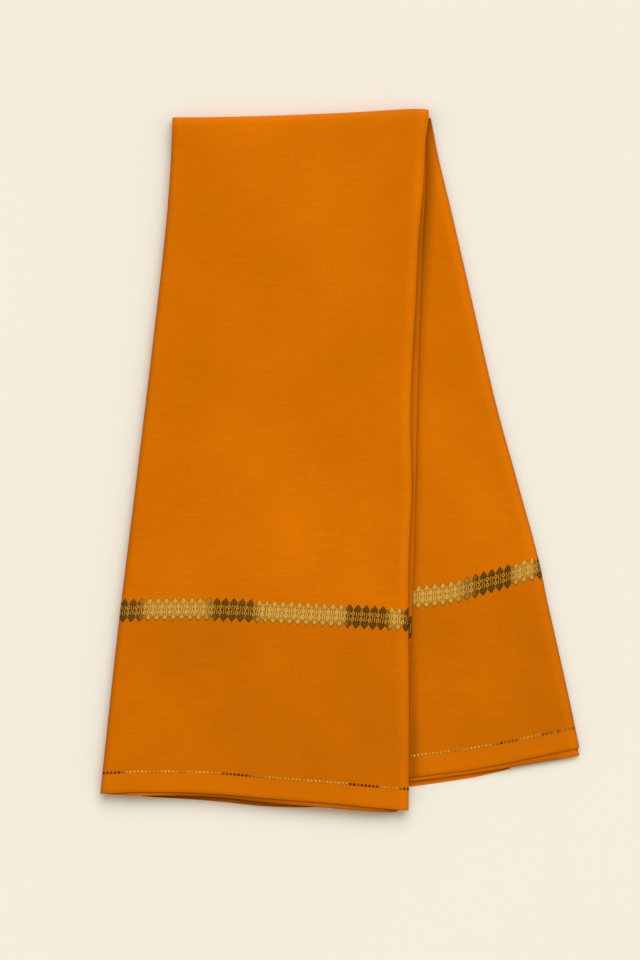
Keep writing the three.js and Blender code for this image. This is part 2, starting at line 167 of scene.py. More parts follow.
# The mid-width fold line and the hems of the plies that show.
FOLD_LINE = table(
    "x y",
    (-139.2, 285.9), (-100.0, 286.3), (-50.0, 287.6),
    (12.5, 290.2), (62.5, 293.1), (75.0, 292.4),
)
FRONT_HEMS = table(
    "x top second lowest",
    (-200.0, -278.1, -278.0, -276.6), (-190.0, -277.8, -278.5, -277.6),
    (-174.6, -277.0, -279.6, -279.2), (-157.9, -276.8, -279.7, -281.0),
    (-132.9, -277.0, -279.5, -282.4), (-99.6, -278.5, -281.1, -285.0),
    (-66.2, -281.5, -284.8, -288.6), (-32.9, -284.2, -287.9, -289.7),
    (0.4, -287.0, -290.8, -289.0), (20.0, -289.0, -292.5, -289.6),
    (42.0, -291.1, -293.5, -290.2), (47.0, -291.5, -293.0, -290.3),
    (50.0, -291.7, -291.2, -290.3), (57.2, -292.0, -291.0, -290.4),
)
FAN_HEMS = table(
    "x top second lowest",
    (40.0, -264.0, -266.2, -290.0), (47.0, -264.6, -266.8, -288.0),
    (53.5, -265.1, -267.6, -272.8), (58.3, -264.9, -267.8, -272.3),
    (75.4, -262.7, -265.8, -270.1), (108.7, -258.5, -261.4, -265.1),
    (125.0, -255.6, -259.0, -261.6), (142.1, -252.3, -256.3, -257.2),
    (150.0, -250.6, -254.9, -252.4), (175.4, -245.2, -250.7, -248.0),
    (191.0, -242.0, -248.1, -245.0), (199.8, -240.1, -246.2, -243.0),
)

# Light on the strips of lower plies past each hem, and on the dark line right beside that hem.
HEM_LIGHTS = table(
    "x second second_line lowest lowest_line",
    (-199.2, 1.0, 0.55, 0.6, 0.5), (-174.6, 1.25, 0.55, 0.6, 0.45),
    (-157.9, 1.15, 0.55, 0.5, 0.4), (-132.9, 0.86, 0.5, 0.5, 0.4),
    (-99.6, 0.7, 0.5, 0.95, 0.5), (-66.2, 0.7, 0.48, 0.9, 0.5),
    (-32.9, 0.93, 0.55, 0.75, 0.5), (0.4, 0.95, 0.55, 0.8, 0.6),
    (33.7, 0.8, 0.52, 1.1, 0.8), (56.3, 0.85, 0.6, 1.35, 1.1),
    (60.0, 1.1, 0.85, 1.35, 1.2), (108.7, 1.12, 0.85, 1.35, 1.2),
    (142.1, 0.97, 0.65, 1.1, 0.8), (175.4, 0.95, 0.72, 1.1, 0.8),
    (192.0, 1.12, 0.9, 1.1, 0.8), (199.2, 1.12, 0.95, 1.1, 0.8),
)

# Soft troughs in the cloth: middle, heading, half-sizes and depth.
FRONT_CREASES = table(
    "x y heading length width depth",
    (-118, 150, 84, 120, 17, 0.55), (-20, 196, 62, 105, 24, 0.45),
    (-96, -30, 71, 95, 21, 0.5), (6, 30, 97, 130, 19, 0.5),
    (-52, -150, 38, 85, 22, 0.4), (12, -214, 112, 60, 16, 0.45),
    (-72, 92, 28, 48, 8, 0.16), (-130, -96, 66, 52, 7, 0.14),
    (-34, -52, 154, 40, 9, 0.12), (-150, -190, 82, 46, 8, 0.15),
    (-88, -232, 12, 62, 7, 0.12), (30, 128, 80, 44, 7, 0.14),
    (-60, 246, 8, 70, 9, 0.15), (-8, -112, 70, 38, 6, 0.1),
)
FAN_CREASES = table(
    "x y heading length width depth",
    (98, -20, 98, 110, 13, 0.4), (136, -150, 72, 75, 18, 0.4),
    (90, -206, 24, 50, 14, 0.35), (86, 110, 104, 60, 6, 0.16),
    (112, -90, 60, 44, 7, 0.14), (152, -214, 102, 34, 7, 0.12),
    (78, -140, 88, 40, 6, 0.12),
)
DEEPEST = 0.6

# Broad uneven painted light and shade on the slow waves of the cloth.
FRONT_WAVE_LIGHT = table(
    "x y heading length width light",
    (-8, 222, 10, 62, 46, 0.055), (-96, 25, 60, 48, 38, 0.04),
    (-25, -60, 20, 60, 46, 0.06), (-84, 272, 5, 55, 16, 0.04),
    (32, -84, 88, 60, 22, 0.035), (-126, 100, 84, 95, 24, -0.05),
    (-34, 165, 0, 52, 20, -0.03), (8, 80, 70, 48, 34, -0.025),
    (-136, -152, 10, 46, 24, -0.035), (-60, -170, 20, 50, 30, 0.02),
    (36, -200, 100, 40, 18, -0.03),
)
FAN_WAVE_LIGHT = table(
    "x y heading length width light",
    (79, 25, 100, 60, 16, 0.03), (102, -190, 10, 42, 26, 0.085),
    (130, -56, 110, 34, 18, 0.03), (160, -160, 110, 52, 17, -0.05),
    (86, 140, 100, 55, 12, -0.04), (78, -120, 0, 30, 18, 0.03),
)

# Sizes of the gold band and the dotted line, and where they lie: u across the ply, and v as a
# share of the way from the hem to the mid-width fold.
TOOTH_PITCH = 6.9
STEPS_A_TOOTH = 8
BAND_HEIGHT = 20.2
BAND_STEPS = 10
TOOTH_HEIGHT = 4.4
FRONT_BAND = table("u v", (0.0, 0.2738), (0.5, 0.2748), (1.0, 0.2752))
TURNED_BAND = table("u v", (0.0, 0.2622), (1.0, 0.2622))
FAN_BAND = table(
    "u v",
    (0.0, 0.27), (0.14, 0.2711), (0.4, 0.2727), (0.62, 0.2793),
    (0.77, 0.2822), (0.89, 0.2858), (1.0, 0.2878),
)
DOT_PITCH = 3.2
DOT_SIZE = 2.25
DOT_SIDES = 10
FRONT_DOTS = 0.0312
FAN_DOTS = 0.0327

# How far each run of gold goes on past the flat cloth that shows, before its start and after it.
GOLD_RUNS = {
    "front_band": (4.5, 3.6),
    "turned_band": (4.0, 3.2),
    "fan_band": (6.0, 4.0),
    "front_dots": (2.0, 1.0),
    "fan_dots": (5.0, 1.0),
}

# Metres of cloth from the hem up to the middle of the band and to the dotted line.
BAND_FROM_HEM = 0.155
DOTS_FROM_HEM = 0.0175

# Tone of the gold along X: 0 is dark antique gold, 1 is light gold.
BAND_TONES = table(
    "x tone",
    (-199, 0.0), (-168, 0.05), (-160, 0.95), (-114, 0.9), (-103, 0.0), (-73, 0.05),
    (-66, 1.0), (2, 0.9), (7, 0.0), (39, 0.0), (43, 0.95), (50, 0.9),
    (53, 0.0), (59.5, 0.0), (61, 1.0), (98, 0.9), (102, 0.5), (110, 0.4),
    (114, 0.0), (142, 0.0), (146, 0.9), (160.5, 0.95), (163, 0.05), (199, 0.0),
)
DOT_TONES = table(
    "x tone",
    (-199, 0.0), (-183, 0.05), (-176, 0.8), (-162, 0.9), (-156, 0.6), (-144, 1.0),
    (-132, 0.55), (-114, 0.9), (-102, 0.6), (-96, 0.0), (-79, 0.05), (-60, 0.75),
    (5, 0.85), (9, 0.0), (31, 0.05), (36, 0.7), (49, 0.55), (52, 0.0),
    (57, 0.1), (61, 0.95), (83, 0.8), (96, 0.5), (113, 0.9), (127, 0.75),
    (133, 0.15), (147, 0.3), (152, 0.9), (165, 0.8), (170, 0.05), (176, 0.35),
    (192, 0.4), (196, 0.0),
)


def clamp(value, low, high):
    return max(low, min(high, value))


def mix(start, end, share):
    return start + (end - start) * share


def ease(value, start, end):
    """0 up to start, 1 from end on, and smooth between."""
    share = clamp((value - start) / (end - start), 0.0, 1.0)
    return share * share * (3 - 2 * share)


def read(rows, place_column, value_column, place):
    """A value from a table at a place, smooth through its rows."""
    places = rows[place_column]
    values = rows[value_column]
    last = len(places) - 1
    place = clamp(place, places[0], places[last])
    row = 0
    while row < last - 1 and place > places[row + 1]:
        row += 1

    def slope(index):
        before = max(index - 1, 0)
        after = min(index + 1, last)
        return (values[after] - values[before]) / (places[after] - places[before])

    span = places[row + 1] - places[row]
    t = (place - places[row]) / span
    square = t * t
    cube = square * t
    return (
        (2 * cube - 3 * square + 1) * values[row]
        + (cube - 2 * square + t) * span * slope(row)
        + (3 * square - 2 * cube) * values[row + 1]
        + (cube - square) * span * slope(row + 1)
    )


def soft_sum(ovals, column, x, y):
    """Soft oval patches, each strongest at its middle, added up at one place."""
    total = 0.0
    for index, heading in enumerate(ovals["heading"]):
        turn = math.radians(heading)
        dx = x - ovals["x"][index]
        dy = y - ovals["y"][index]
        along = (dx * math.cos(turn) + dy * math.sin(turn)) / ovals["length"][index]
        across = (-dx * math.sin(turn) + dy * math.cos(turn)) / ovals["width"][index]
        total += ovals[column][index] * math.exp(-along * along - across * across)
    return total


def patch(left, right, hem, upper, hem_ends, upper_ends):
    """A four-sided patch in plan, between two side edges, a hem and an upper line."""

    def plan(u, v):
        left_y = mix(hem(hem_ends[0]), upper(upper_ends[0]), v)
        right_y = mix(hem(hem_ends[1]), upper(upper_ends[1]), v)
        hem_x = mix(hem_ends[0], hem_ends[1], u)
        upper_x = mix(upper_ends[0], upper_ends[1], u)
        return mix(left(left_y), right(right_y), u), mix(hem(hem_x), upper(upper_x), v)

    return plan


class FoldedEdge:
    """A long edge turned under: a bend and a lip. A plain edge has no bend."""

    def __init__(self, radius=0.0, bend=0.0, lip=0.0):
        self.radius = radius
        self.bend = bend
        self.lip = lip
        self.centre = radius if bend >= math.pi / 2 else radius * math.sin(bend)
        self.length = radius * bend + lip

    def at(self, beyond, lift=0.0):
        """Where a point lies that is so far past the flat cloth: in from the edge, and its depth."""
        if self.radius == 0.0:
            return self.centre, -lift
        reach = self.radius + lift
        angle = min(beyond / self.radius, self.bend)
        rest = max(beyond - self.radius * self.bend, 0.0)
        inward = self.centre - reach * math.sin(angle) - rest * math.cos(angle)
        return inward, self.radius - reach * math.cos(angle) + rest * math.sin(angle)


def opening_edge(radius, lip, to_fold):
    """A folded edge some way below the mid-width fold, where it opens out."""
    closed = ease(to_fold, 0.0, OPEN_LENGTH)
    held = ease(to_fold, OPEN_LENGTH, OPEN_LENGTH + LIP_FADE)
    return FoldedEdge(radius, mix(OPEN_BEND, math.pi, closed), mix(SEAM, lip, held))


# Readers of the tables: the edges by Y, and the fold line and the hems by X.
fold_y = partial(read, FOLD_LINE, "x", "y")
front_left = partial(read, FRONT_LEFT, "y", "x")
front_right = partial(read, FRONT_RIGHT, "y", "x")
turn_out = partial(read, FRONT_RIGHT, "y", "turn")
fan_right = partial(read, FAN_RIGHT, "y", "x")
front_hem = partial(read, FRONT_HEMS, "x", "top")
front_second_hem = partial(read, FRONT_HEMS, "x", "second")
fan_hem = partial(read, FAN_HEMS, "x", "top")


def bend_y(x):
    return fold_y(x) - TOP_BEND


def second_hem(x):
    return front_second_hem(x) if x < HEM_RIGHT_X else read(FAN_HEMS, "x", "second", x)


def lowest_hem(x):
    hems = FRONT_HEMS if x < FAN_HEMS["x"][0] else FAN_HEMS
    return read(hems, "x", "lowest", x)


def droop(hem_y, y):
    """How far a ply sinks close to its hem."""
    return HEM_DROOP * (1 - ease(y - hem_y, 0.0, HEM_CURVE)) ** 2


HEM_LEFT_X = FRONT_HEMS["x"][0]
HEM_RIGHT_X = FRONT_RIGHT["x"][0]
FAN_CORNER_X = FAN_RIGHT["x"][0]
FAN_CORNER_Y = FAN_RIGHT["y"][0]
FAN_CORNER_FADE = (-5.0, -0.5)
UPPER_LEFT_X = FRONT_LEFT["x"][-1]
UPPER_RIGHT_X = FRONT_RIGHT["x"][-1]


def calm_depth(creases, x, y, distance, width, depth):
    """Creases die away towards the edges and the mid-width fold, and spare what is turned under."""
    creased = min(soft_sum(creases, "depth", x, y), DEEPEST)
    sides = ease(distance, 0, CALM_EDGE) * ease(width - distance, 0, CALM_EDGE)
    upper = ease(bend_y(x) - y, 0, CALM_EDGE)
    spared = 1 - ease(depth, PLY, 2 * PLY)
    return creased * sides * upper * spared


# A row of a ply: how far up its plan, its turn round the mid-width fold, and its run below.
Row = namedtuple("Row", "v turn run", defaults=(0.0, 0.0))
# What a row measures: its width, its two edges, and the length of its flat part.
Measured = namedtuple("Measured", "width left right flat")


class Ply:
    """One stretch of cloth: its plan, its folds as (radius, lip) or None for a plain edge, and what
    gives the place and the shade of each point."""

    def __init__(self, plan, left_fold, right_fold, place, shade):
        self.plan = plan
        self.folds = (left_fold, right_fold)
        self.place = place
        self.shade = shade

    def measure(self, row):
        x0, y0 = self.plan(0.0, row.v)
        x1, y1 = self.plan(1.0, row.v)
        width = math.hypot(x1 - x0, y1 - y0)
        to_fold = bend_y(0) - self.plan(0.5, row.v)[1]
        left, right = (opening_edge(*fold, to_fold) if fold else FoldedEdge() for fold in self.folds)
        return Measured(width, left, right, width - left.centre - right.centre)

    def flat_at(self, v):
        return self.measure(Row(v)).flat

    def length(self):
        """How long the ply is along its middle, from its hem to its upper line."""
        return self.plan(0.5, 1.0)[1] - self.plan(0.5, 0.0)[1]

    def fold_round(self, across, lift, measured):
        """How far in from the left edge a point of the cloth lies, and how deep."""
        if across < 0:
            return measured.left.at(-across, lift)
        if across > measured.flat:
            inward, depth = measured.right.at(across - measured.flat, lift)
            return measured.width - inward, depth
        return measured.left.centre + across, -lift

    def point(self, across, row, lift, measured):
        """A point in plan, how far in from the left edge it is, the row's width, and the depth."""
        distance, depth = self.fold_round(across, lift, measured)
        x, y = self.plan(distance / measured.width, row.v)
        return x, y, distance, measured.width, depth

    def spot(self, across, row, lift=0.0, measured=None):
        """A point of the outer face, so far across the cloth from the start of its flat part."""
        return self.place(*self.point(across, row, lift, measured or self.measure(row)), row)

    def shade_at(self, across, row, measured):
        """How light the cloth looks at a point, against open flat cloth."""
        return self.shade(*self.point(across, row, 0.0, measured))


def shoulder(inward):
    """Cloth is a little lighter where it begins to roll over towards the light."""
    return 1 + SHOULDER_LIGHT * ease(inward, *SHOULDER_RISE) * (1 - ease(inward, *SHOULDER_FALL))


def turned_under_shade(depth):
    """Painted shade: cloth is darker where it has turned under."""
    return mix(1.0, UNDER_SHADE, ease(depth, *UNDER_FADE))


# The shades and places below are of what Ply.point gives, with the depth below the outer face.
def front_shade(x, y, distance, width, depth):
    inward = width - distance
    left = mix(LEFT_EDGE_SHADE, 1.0, ease(distance, *LEFT_EDGE_FADE))
    right = shoulder(inward) * mix(RIGHT_EDGE_SHADE, 1.0, ease(inward, *RIGHT_EDGE_FADE))
    top = mix(1 + TOP_LIGHT, 1.0, ease(bend_y(x) - y, *TOP_FADE))
    wave_light = 1 + soft_sum(FRONT_WAVE_LIGHT, "light", x, y)
    return left * right * top * wave_light * turned_under_shade(depth) * hem_rim_shade(front_hem, x, y)


def hem_rim_shade(hem, x, y):
    """Painted shade: cloth is darker right at its hem."""
    return mix(RIM_SHADE, 1.0, ease(y - hem(x), *RIM_FADE))


def past_hem_shade(hem, x, y, ply):
    """Painted shade and light: a lower ply shows past the hem of the ply above it as a dark shaded
    line, then as a lit strip.
    """
    beyond = hem(x) - y
    line = read(HEM_LIGHTS, "x", ply + "_line", x)
    strip = mix(line, read(HEM_LIGHTS, "x", ply, x), ease(beyond, *PAST_HEM_LINE))
    return mix(1.0, strip, ease(beyond, *PAST_HEM_START))


def turned_shade(x, y, distance, width, depth):
    past_front = turn_out(y) - (width - distance)
    crest = mix(STRIP_CREST, STRIP_CREST_HIGH, ease(y, *STRIP_HIGH_Y))
    strip = mix(min(STRIP_SHADE, crest), crest, ease(past_front, *STRIP_FADE))
    side = mix(1.0, strip, ease(past_front, *STRIP_START)) * turned_under_shade(2 * depth)
    return side * past_hem_shade(front_hem, x, y, "second") * hem_rim_shade(second_hem, x, y)


def fan_shade(x, y, distance, width, depth):
    beside = distance - FAN_TUCK - turn_out(y)
    inward = width - distance
    dark, *fade = (read(BESIDE_FRONT, "y", column, y) for column in ("shade", "start", "reach"))
    contact = mix(dark, 1.0, ease(beside, *fade))
    glow = mix(BESIDE_LIGHT, 1.0, ease(beside, *BESIDE_FADE))
    contact *= mix(glow, 1.0, ease(y, *BESIDE_END_Y))
    edge = mix(FAN_EDGE_SHADE, 1.0, ease(inward, *FAN_EDGE_FADE))
    # Painted highlight where the cloth rolls over, and painted shade where it turns under.
    roll_light_and_shade = shoulder(inward) * turned_under_shade(depth)
    wave_light = 1 + soft_sum(FAN_WAVE_LIGHT, "light", x, y)
    return contact * edge * wave_light * roll_light_and_shade * hem_rim_shade(fan_hem, x, y)


def fan_turned_shade(x, y, distance, width, depth):
    return past_hem_shade(fan_hem, x, y, "second") * hem_rim_shade(second_hem, x, y)


def back_shade(x, y, distance, width, depth):
    return past_hem_shade(second_hem, x, y, "lowest")


def front_ply():
    """The top ply of the front."""
    plan = patch(
        front_left,
        front_right,
        front_hem,
        bend_y,
        (HEM_LEFT_X, HEM_RIGHT_X),
        (UPPER_LEFT_X, UPPER_RIGHT_X),
    )

    def place(x, y, distance, width, depth, row):
        sunk = 0.0
        if row.turn == 0.0:
            sunk = calm_depth(FRONT_CREASES, x, y, distance, width, depth)
            sunk += droop(front_hem(x), y)
        reach = TOP_BEND - depth
        height = TOP_BEND + reach * math.cos(row.turn) - sunk
        return Vector((x, y + reach * math.sin(row.turn) - row.run, height))

    left_fold = (FRONT_ROLL, TURNED_UNDER)
    return Ply(plan, left_fold, (FRONT_FOLD, TURNED_UNDER), place, front_shade)


def front_turned_ply():
    """The ply below the front, which steps down under the front's turned-under edge."""
    plan = patch(
        lambda y: front_left(y) + INNER_LEFT,
        lambda y: front_right(y) + turn_out(y),
        front_second_hem,
        lambda x: bend_y(x) - SHORT_OF_BEND,
        (HEM_LEFT_X + INNER_LEFT, HEM_RIGHT_X),
        (UPPER_LEFT_X + INNER_LEFT, UPPER_RIGHT_X),
    )

    def place(x, y, distance, width, depth, row):
        raised = ease(width - turn_out(y) - distance, RAMP_END, RAMP_START)
        front_width = width + INNER_LEFT - turn_out(y)
        sunk = calm_depth(FRONT_CREASES, x, y, distance + INNER_LEFT, front_width, depth)
        sunk += droop(front_second_hem(x), y)
        return Vector((x, y, mix(TURNED_LOW, TURNED_HIGH, raised) - depth - sunk))

    return Ply(plan, None, (TURNED_FOLD, TURNED_UNDER_NARROW), place, turned_shade)


def fan_ply(top, hem, right_inset, right_fold, shade):
    """A ply of the fanned stretch, tucked in below the front at its left."""
    hem_y = partial(read, FAN_HEMS, "x", hem)
    corner_inset = min(right_inset, SEAM)

    def right_edge(y):
        """Below the top ply's hem a lower ply reaches out to the corner."""
        drawn_in = ease(y - FAN_CORNER_Y, *FAN_CORNER_FADE)
        return fan_right(y) - mix(corner_inset, right_inset, drawn_in)

    plan = patch(
        lambda y: front_right(y) - FAN_TUCK,
        right_edge,
        hem_y,
        lambda x: bend_y(x) - SHORT_OF_BEND,
        (HEM_RIGHT_X - FAN_TUCK, FAN_CORNER_X - corner_inset),
        (UPPER_RIGHT_X - FAN_TUCK, UPPER_RIGHT_X - right_inset),
    )

    def place(x, y, distance, width, depth, row):
        shown = width + right_inset - FAN_TUCK
        sunk = calm_depth(FAN_CREASES, x, y, distance - FAN_TUCK, shown, depth)
        sunk += droop(hem_y(x), y)
        return Vector((x, y, top - depth - sunk))

    return Ply(plan, None, right_fold, place, shade)


def back_ply():
    """The lowest ply, flat on the surface, with its left edge folded up."""
    upper_left = front_left(bend_y(UPPER_LEFT_X) - UNDER_RUN) + BACK_INSET
    upper_right = fan_right(bend_y(UPPER_RIGHT_X) - UNDER_RUN) - BACK_INSET
    plan = patch(
        lambda y: front_left(y) + BACK_INSET,
        lambda y: fan_right(y) - BACK_INSET,
        lowest_hem,
        lambda x: bend_y(x) - UNDER_RUN - SEAM,
        (HEM_LEFT_X + BACK_INSET, FAN_CORNER_X - BACK_INSET),
        (upper_left, upper_right),
    )

    def place(x, y, distance, width, depth, row):
        return Vector((x, y, depth))

    return Ply(plan, (BACK_ROLL, TURNED_UNDER), None, place, back_shade)


def even(start, end, count):
    """Evenly spaced values, both ends included."""
    return [mix(start, end, step / count) for step in range(count + 1)]


def stretched(*stretches):
    """Shares from 0 on, up to the end of each stretch in so many even steps."""
    shares = [0.0]
    for end, steps in stretches:
        shares += even(shares[-1], end, steps)[1:]
    return shares


def rows_up(count):
    """Rows of a ply from its hem up, closer together near the hem."""
    return [Row(v) for v in stretched((HEM_SHARE, HEM_ROWS), (1.0, count))]


def finish_piece(name, bm, material, thickness):
    """Makes a mesh object of a bmesh, gives it its material and its thickness, and rides it."""
    mesh = bpy.data.meshes.new(name)
    bm.to_mesh(mesh)
    bm.free()
    for face in mesh.polygons:
        face.use_smooth = True
    piece = bpy.data.objects.new(name, mesh)
    bpy.context.scene.collection.objects.link(piece)
    mesh.materials.append(material)
    if thickness:
        wall = piece.modifiers.new("ply", "SOLIDIFY")
        wall.thickness = thickness * MM
        wall.offset = -1.0
    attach(piece, "root")
    return piece


def lay_pattern(bm, pattern):
    """Gives each point of a mesh its pattern coordinates."""
    uv_layer = bm.loops.layers.uv.new("UVMap")
    for face in bm.faces:
        for loop in face.loops:
            loop[uv_layer].uv = pattern(loop.vert)


def grid_piece(name, columns, rows, spot, material, thickness, faces_down=False):
    """A grid of cloth: spot(column, row) gives each point, its pattern coordinates and its shade."""
    bm = bmesh.new()
    shade_layer = bm.verts.layers.float.new("shade")
    across = len(columns) - 1
    along = len(rows) - 1
    bmesh.ops.create_grid(bm, x_segments=across, y_segments=along, size=1.0)
    pattern = {}
    for vert in bm.verts:
        column = round((vert.co.x + 1) / 2 * across)
        row = round((vert.co.y + 1) / 2 * along)
        point, pattern[vert], vert[shade_layer] = spot(columns[column], rows[row])
        vert.co = point * MM
    lay_pattern(bm, pattern.get)
    if faces_down:
        bmesh.ops.reverse_faces(bm, faces=bm.faces[:])
    return finish_piece(name, bm, material, thickness)


def cloth_columns(grid):
    """Columns of a ply: shares of the left fold, of the flat cloth and of the right fold."""
    left = [("left", 1 - step / grid.left) for step in range(grid.left)]
    right = [("right", (step + 1) / grid.right) for step in range(grid.right)]
    return left + [("flat", share) for share in stretched(*grid.flat)] + right


def cloth_piece(name, ply, grid, material, further_rows=(), faces_down=False):
    """A whole ply as a thin shell, its pattern coordinates in metres of cloth."""
    rows = rows_up(grid.up) + list(further_rows)
    measured = {row: ply.measure(row) for row in rows}
    middle = ply.plan(0.5, 0.0)[1]

    def spot(column, row):
        here = measured[row]
        zone, share = column
        if zone == "left":
            across = -share * here.left.length
        elif zone == "right":
            across = here.flat + share * here.right.length
        else:
            across = share * here.flat
        point = ply.spot(across, row, 0.0, here)
        along = ply.plan(0.5, row.v)[1] - middle + TOP_BEND * row.turn + row.run
        pattern = ((across - here.flat / 2) * MM, along * MM)
        return point, pattern, ply.shade_at(across, row, here)

    return grid_piece(name, cloth_columns(grid), rows, spot, material, SILK, faces_down)


def gold_ends(run, start, end):
    """Where a run of gold starts and ends, across the cloth from the start of its flat part."""
    before, after = GOLD_RUNS[run]
    return start - before, end + after


def band_piece(name, ply, band, ends, material):
    """A length of the gold band: a strip with teeth along both sides, lying on its ply."""
    start, end = ends
    teeth = round((end - start) / TOOTH_PITCH * 2) / 2
    pitch = (end - start) / teeth
    columns = even(start, end, round(teeth * STEPS_A_TOOTH))
    middle = ply.measure(Row(read(band, "u", "v", 0.5)))

    def spot(across, share):
        phase = across / pitch
        from_tip = abs((phase + 0.5) % 1.0 - 0.5) * 2
        height = 1 - 2 * TOOTH_HEIGHT / BAND_HEIGHT * from_tip
        t = (share - 0.5) * height
        u = clamp((across + middle.left.centre) / middle.width, 0.0, 1.0)
        row = Row(read(band, "u", "v", u) + t * BAND_HEIGHT / ply.length())
        shade = ply.shade_at(across, row, ply.measure(row))
        return ply.spot(across, row, ZARI_LIFT), (phase, t + 0.5), shade

    return grid_piece(name, columns, even(0.0, 1.0, BAND_STEPS), spot, material, ZARI)


def dots_piece(name, ply, v, start, material):
    """The dotted line above a hem: one small raised round of gold thread after another."""
    bm = bmesh.new()
    start, end = gold_ends(name, start, ply.flat_at(v))
    for across in even(start, end, round((end - start) / DOT_PITCH)):
        made = bmesh.ops.create_circle(bm, cap_ends=True, segments=DOT_SIDES, radius=DOT_SIZE / 2)
        for vert in made["verts"]:
            offset = vert.co.copy()
            row = Row(v + offset.y / ply.length())
            vert.co = ply.spot(across + offset.x, row, ZARI_LIFT) * MM
    lay_pattern(bm, lambda vert: vert.co.xy)
    bmesh.ops.recalc_face_normals(bm, faces=bm.faces[:])
    for face in bm.faces:
        if face.normal.z < -0.5:
            face.normal_flip()
    return finish_piece(name, bm, material, ZARI)


# The hidden layers: heights and how far each stays inside the outline of its stretch.
LOWER_LAYERS = table(
    "start end left right hem",
    (1.40, 2.20, 4.8, 11.6, 3.0),
    (2.30, 3.00, 4.2, 11.2, 1.7),
)
UPPER_LAYERS = table(
    "start end left right hem",
    (3.05, 4.00, 4.8, 13.6, 2.2),
    (4.10, 4.90, 4.6, 13.2, 3.1),
    (5.00, 6.50, 13.4, 13.5, 2.0),
    (6.70, 8.00, 13.8, 9.6, 2.8),
    (8.10, 8.80, 4.4, 26.0, 1.8),
    (8.90, 9.40, 3.9, 25.4, 2.4),
)
STACK_COLUMNS = 176
STACK_PATTERN = 3
BEND_REACH = TOP_BEND - PLY - 1.5 * SEAM

# One leaf of the stack: its pitch, the grooves beside it, and how its edge wavers.
LEAF_PITCH = 0.4
LEAF_GROOVE = 0.35
GROOVE_SHADE = 0.55
LEAF_PROFILE = table("share groove", (0.0, 1.0), (0.3, 0.15), (0.7, 0.15), (0.98, 1.0))
LEAF_WAVES = table("swing rate shift", (0.45, 0.021, 2.4), (0.3, 0.057, 4.1))
LEAF_SIDE_WAVER = 0.6
STACK_HEM_INSET = 0.8
BELOW_FAN_INSET = 0.6


def layer_levels(layers):
    """Heights and insets of a stack of thin leaves: each leaf swells out between two grooves."""
    levels = []
    start = layers["start"][0]
    end = layers["end"][-1]
    leaves = max(2, round((end - start) / LEAF_PITCH))
    for leaf in range(leaves):
        low = mix(start, end, leaf / leaves)
        high = mix(start, end, (leaf + 1) / leaves)
        middle = (low + high) / 2
        row = max(sum(first <= middle for first in layers["start"]) - 1, 0)
        inset = {side: layers[side][row] for side in ("left", "right", "hem")}
        for share, groove in zip(LEAF_PROFILE["share"], LEAF_PROFILE["groove"]):
            levels.append((mix(low, high, share), groove * LEAF_GROOVE, leaf, inset))
    return levels


def leaf_waver(leaf, place):
    """A slow unevenness of one leaf's edge, so that no two leaves end alike."""
    wave_light = zip(LEAF_WAVES["swing"], LEAF_WAVES["rate"], LEAF_WAVES["shift"])
    return sum(swing * math.sin(place * rate + leaf * shift) for swing, rate, shift in wave_light)


def stack_point(share, level, stretch):
    """A point of a stack's outline, share of the way round from its upper left corner."""
    height, groove, leaf, inset = level
    lift = math.sqrt(max(BEND_REACH**2 - (height - TOP_BEND) ** 2, 0.0))
    left_in, right_in, hem_in = (inset[side] + groove for side in ("left", "right", "hem"))

    def upper(x):
        return bend_y(x) + lift - groove

    def hem(x):
        edge = stretch["hem"](x) + hem_in + STACK_HEM_INSET + leaf_waver(leaf, x)
        return max(edge, second_hem(x) + BELOW_FAN_INSET) if x > HEM_RIGHT_X else edge

    def side_waver(y, place):
        """A leaf's waver along a side, which dies away towards both of its corners."""
        return abs(leaf_waver(leaf, y)) * LEAF_SIDE_WAVER * (1 - 2 * abs(place - 0.5))

    hem_start = HEM_LEFT_X + left_in
    hem_end = stretch["corner"] - right_in
    upper_start = UPPER_LEFT_X + left_in
    upper_end = UPPER_RIGHT_X - right_in
    side, place = divmod(share * 4, 1.0)
    if side == 0:
        y = mix(upper(upper_start), hem(hem_start), place)
        return Vector((front_left(y) + left_in + side_waver(y, place), y, height))
    if side == 1:
        x = mix(hem_start, hem_end, place)
        return Vector((x, hem(x), height))
    if side == 2:
        y = mix(hem(hem_end), upper(upper_end), place)
        return Vector((stretch["right"](y) - right_in - side_waver(y, place), y, height))
    x = mix(upper_end, upper_start, place)
    return Vector((x, upper(x), height))


def stack_shell(bm, layers, stretch):
    """One closed stack of leaves, from a grid rolled round and closed at both ends."""
    levels = layer_levels(layers)
    shade_layer = bm.verts.layers.float["shade"]
    up = len(levels) - 1
    made = bmesh.ops.create_grid(bm, x_segments=STACK_COLUMNS, y_segments=up, size=1.0)
    for vert in made["verts"]:
        column = round((vert.co.x + 1) / 2 * STACK_COLUMNS) % STACK_COLUMNS
        level = levels[round((vert.co.y + 1) / 2 * up)]
        vert.co = stack_point(column / STACK_COLUMNS, level, stretch) * MM
        vert[shade_layer] = mix(1.0, GROOVE_SHADE, level[1] / LEAF_GROOVE)
    bmesh.ops.remove_doubles(bm, verts=made["verts"], dist=0.000001)
    border = [edge for edge in bm.edges if edge.is_boundary]
    bmesh.ops.holes_fill(bm, edges=border, sides=0)


def inner_layers_piece(material):
    """The hidden plies of both stretches: one rounded stack of leaves on another."""
    bm = bmesh.new()
    bm.verts.layers.float.new("shade")
    stack_shell(bm, LOWER_LAYERS, {"hem": lowest_hem, "right": fan_right, "corner": FAN_CORNER_X})
    upper = {"hem": front_second_hem, "right": front_right, "corner": HEM_RIGHT_X}
    stack_shell(bm, UPPER_LAYERS, upper)
    bmesh.ops.recalc_face_normals(bm, faces=bm.faces[:])
    lay_pattern(bm, lambda vert: (vert.co.x, vert.co.y + STACK_PATTERN * vert.co.z))
    return finish_piece("inner_layers", bm, material, 0.0)


